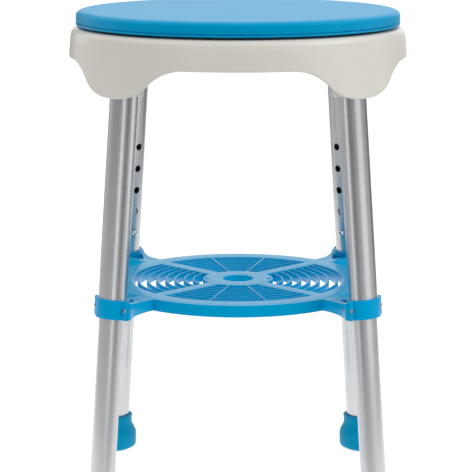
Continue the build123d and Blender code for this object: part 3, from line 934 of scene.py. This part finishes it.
def footPart():
    # in the corner's frame: level near the floor, square to the leg above
    look = footLook
    wide, deep = look["tube"]

    def level(height, by):
        ring = Matrix.Translation((reachAt(height), 0, 0))
        return ovalRing(wide + 2 * (look["wall"] + by), deep + 2 * (look["wall"] + by), height, ring)

    def square(height, by):
        grow = 2 * (look["wall"] + by)
        return ovalRing(wide + grow, deep + grow, alongLeg(height), cornerLeg)

    flare, tall, sole = look["flare"], look["height"], look["treadDeep"]
    rings = [level(sole + rise, flare + by) for rise, by in look["soleEdge"]]
    rings += [level(height, flare * share) for height, share in look["lowerSide"]]
    bandStart, squareFrom = tall - look["bandDrop"], look["squareFrom"]
    fullShare = look["lowerSide"][-1][1]
    shareLost = 0.82           # full share less what is left at the band
    for k in range(1, 8):
        t = k / 8
        height = squareFrom + (bandStart - squareFrom) * t
        rings.append(square(height, flare * (fullShare - shareLost * (t * t * (3 - 2 * t)))))
    rings += [square(bandStart, flare * look["flareLeft"]), square(bandStart + 0.0045, 0.0004)]
    rings += [square(tall + rise, by) for rise, by in look["topEdge"]]
    bore = -look["wall"] + 0.0001
    rings.append(square(look["bore"] + 0.002, bore))
    rings.append(ovalRing(wide + 0.0002, deep + 0.0002, look["bore"], cornerLeg))
    return loft(rings)


def buildFeet():
    look = footLook
    wide, deep = look["tube"]
    solid = footPart()
    squeeze = (deep + 2 * look["wall"]) / (wide + 2 * look["wall"])
    treads = bakeTree(hoopSet, {
        "Count": look["treads"], "First Radius": look["treadFirst"], "Pitch": look["treadPitch"],
        "Thickness": look["treadThick"],
        "Depth": look["treadDeep"] + 0.001, "Middle Height": (look["treadDeep"] + 0.001) / 2,
        "Squeeze": squeeze, "Edge Round": look["treadRound"], "Material": paint["footRubber"]})
    treads = moved(treads, Matrix.Translation((footReach, 0, 0)))
    for corner in cornerTurn:
        part = moved(joined(solid, treads), cornerMatrix(corner))
        addPiece("foot_" + corner + ".shown", part, "lower_leg_" + corner,
                 paint["footRubber"], ["foot_" + corner], 38)


buildFeet()
print("feet built")


# ---- CAD parts that are shown as they are ----

carried = {
    "upper_leg": "legMetal",
    "lower_leg": "legMetal",
    "snap_button": "domeSteel",
    "snap_spring": "domeSteel",
    "foot_washer": "screwZinc",
    "pivot_bolt": "screwZinc",
    "pivot_washer": "screwZinc",
    "pivot_nut": "screwZinc",
    "pivot_bush": "bushWhite",
    "glide_ring": "bushWhite",
}
for name, node in frame["nodes"].items():
    stem = name[:-3] if name[-2:] in cornerTurn else name
    if stem not in carried:
        continue
    for place in node.material_slots:
        place.link = "OBJECT"
        place.material = paint[carried[stem]]
print("materials on the CAD parts")


# ---- floor, light and camera ----

lightLook = {
    "paper": 1.02,            # brightness of the white paper that the stool stands on
    "paperHalf": 0.55,        # half its width beside the stool
    "paperWiden": 0.125,      # how fast it widens towards the rear
    "paperFront": -0.15,      # where it starts, towards the front
    "floor": 0.50,            # the pale floor round it
    "flag": 0.16,
    # brightness of the room by direction
    "front": 0.20,
    "rear": 1.10,
    "overhead": 1.10,
    "overheadFade": (0.15, 0.8),
    "rearFade": (0.2, 0.75),
    # turn from the front (right is plus), distance, width, height, foot, brightness
    "boxes": {
        "stripLeft": (-27, 1.5, 0.40, 1.5, 0.0, 0.88),
        "softRight": (64, 1.5, 0.9, 1.5, 0.0, 0.62),
        "keyRight": (70, 1.5, 1.0, 0.8, 1.1, 2.9),
        "topLeft": (-70, 1.0, 0.5, 0.4, 1.35, 1.6),
    },
    "flags": {
        "flagFront": (8, 1.45, 0.62, 1.4, 0.0),
        "flagRight": (128, 1.4, 0.9, 1.4, 0.0),
        "flagLeft": (-150, 1.5, 0.55, 1.4, 0.0),
    },
}


def stageSheet(name, size, material):
    mesh = bpy.data.meshes.new(name)
    x, y = size[0] / 2, size[1] / 2
    mesh.from_pydata([(-x, -y, 0), (x, -y, 0), (x, y, 0), (-x, y, 0)], [], [(0, 1, 2, 3)])
    mesh.materials.append(material)
    sheet = bpy.data.objects.new(name, mesh)
    scene.collection.objects.link(sheet)
    return sheet


def glowMaterial(name, strength, diffuse):
    # emission with a faint noise over a diffuse ground; gives the socket that sets the brightness
    material = bpy.data.materials.new(name)
    material.use_nodes = True
    nodes, links = material.node_tree.nodes, material.node_tree.links
    shader = nodes["Principled BSDF"]
    shader.inputs["Base Color"].default_value = (diffuse, diffuse, diffuse, 1)
    shader.inputs["Roughness"].default_value = 0.9
    shader.inputs["Specular IOR Level"].default_value = 0.0
    shader.inputs["Emission Color"].default_value = (1, 1, 1, 1)
    place = nodes.new("ShaderNodeTexCoord")
    noise = nodes.new("ShaderNodeTexNoise")
    noise.inputs["Scale"].default_value = 2.0
    span = nodes.new("ShaderNodeMapRange")
    span.inputs["To Min"].default_value = strength * 0.99
    span.inputs["To Max"].default_value = strength * 1.01
    links.new(place.outputs["Object"], noise.inputs["Vector"])
    links.new(noise.outputs[0], span.inputs["Value"])
    links.new(span.outputs[0], shader.inputs["Emission Strength"])
    return material


def paperMaterial():
    # white paper on a pale floor, with a soft border
    look = lightLook
    material = glowMaterial("floorPaper", look["floor"], 0.12)
    nodes, links = material.node_tree.nodes, material.node_tree.links
    shader = nodes["Principled BSDF"]
    ground = shader.inputs["Emission Strength"].links[0].from_socket
    place = nodes.new("ShaderNodeTexCoord")
    split = nodes.new("ShaderNodeSeparateXYZ")
    links.new(place.outputs["Object"], split.inputs["Vector"])
    across = nodes.new("ShaderNodeMath")
    across.operation = "ABSOLUTE"
    links.new(split.outputs["X"], across.inputs[0])
    side = nodes.new("ShaderNodeMath")
    side.operation = "MULTIPLY_ADD"
    side.inputs[1].default_value = -look["paperWiden"]
    links.new(split.outputs["Y"], side.inputs[0])
    links.new(across.outputs[0], side.inputs[2])
    shares = []
    for source, start, end in ((side.outputs[0], look["paperHalf"] + 0.3, look["paperHalf"]),
                               (split.outputs["Y"], look["paperFront"] - 0.5, look["paperFront"])):
        share = nodes.new("ShaderNodeMapRange")
        share.interpolation_type = "SMOOTHSTEP"
        share.inputs["From Min"].default_value = start
        share.inputs["From Max"].default_value = end
        links.new(source, share.inputs["Value"])
        shares.append(share.outputs[0])
    both = nodes.new("ShaderNodeMath")
    both.operation = "MULTIPLY"
    links.new(shares[0], both.inputs[0])
    links.new(shares[1], both.inputs[1])
    mix = nodes.new("ShaderNodeMix")
    links.new(both.outputs[0], mix.inputs["Factor"])
    links.new(ground, mix.inputs["A"])
    mix.inputs["B"].default_value = look["paper"]
    links.new(mix.outputs["Result"], shader.inputs["Emission Strength"])
    return material


def facing(turn, distance, height):
    # upright at a turn round the stool, facing its middle; Z of the sheet points to the stool
    a = math.radians(turn - 90)
    place = Vector((math.cos(a) * distance, math.sin(a) * distance, height))
    look = (Vector((0, 0, height)) - place).to_track_quat("Z", "Y")
    return Matrix.Translation(place) @ look.to_matrix().to_4x4()


def buildStage():
    floor = stageSheet("floor", (60, 60), paperMaterial())
    dark = glowMaterial("flagCloth", lightLook["flag"], 0.05)
    for name, (turn, distance, width, height, foot) in lightLook["flags"].items():
        flag = stageSheet(name, (width, height), dark)
        flag.matrix_world = facing(turn, distance, foot + height / 2)
        flag.visible_camera = False
        flag.visible_diffuse = False
        flag.visible_shadow = False
    for name, (turn, distance, width, height, foot, bright) in lightLook["boxes"].items():
        light = bpy.data.lights.new(name, "AREA")
        light.shape = "RECTANGLE"
        light.size = width
        light.size_y = height
        light.energy = bright * math.pi * width * height
        lamp = bpy.data.objects.new(name, light)
        scene.collection.objects.link(lamp)
        lamp.matrix_world = facing(turn, distance, foot + height / 2) @ Matrix.Rotation(math.pi, 4, "Y")
        lamp.visible_camera = False


def buildWorld():
    # a bright ceiling and rear wall, and a darker room in front
    look = lightLook
    world = bpy.data.worlds.new("studio")
    scene.world = world
    world.use_nodes = True
    nodes, links = world.node_tree.nodes, world.node_tree.links
    place = nodes.new("ShaderNodeTexCoord")
    split = nodes.new("ShaderNodeSeparateXYZ")
    links.new(place.outputs["Generated"], split.inputs["Vector"])
    shares = []
    for axis, (start, end), bright in (("Z", look["overheadFade"], look["overhead"]),
                                       ("Y", look["rearFade"], look["rear"])):
        share = nodes.new("ShaderNodeMapRange")
        share.interpolation_type = "SMOOTHSTEP"
        share.inputs["From Min"].default_value = start
        share.inputs["From Max"].default_value = end
        share.inputs["To Min"].default_value = look["front"]
        share.inputs["To Max"].default_value = bright
        links.new(split.outputs[axis], share.inputs["Value"])
        shares.append(share.outputs[0])
    best = nodes.new("ShaderNodeMath")
    best.operation = "MAXIMUM"
    links.new(shares[0], best.inputs[0])
    links.new(shares[1], best.inputs[1])
    links.new(best.outputs[0], nodes["Background"].inputs["Strength"])
    nodes["Background"].inputs["Color"].default_value = (1, 1, 1, 1)


cameraLook = {"place": (-0.0021, -2.1504, 0.6956), "down": 10.843, "lens": 152.91, "sensor": 36.0,
              "clip": (0.05, 200)}


def buildCamera():
    data = bpy.data.cameras.new("camera")
    data.sensor_width = cameraLook["sensor"]
    data.lens = cameraLook["lens"]
    data.clip_start, data.clip_end = cameraLook["clip"]
    camera = bpy.data.objects.new("camera", data)
    scene.collection.objects.link(camera)
    camera.location = cameraLook["place"]
    camera.rotation_euler = (math.radians(90 - cameraLook["down"]), 0, 0)
    scene.camera = camera


buildStage()
buildWorld()
buildCamera()
scene.view_settings.view_transform = "Standard"
print("floor, light and camera set")
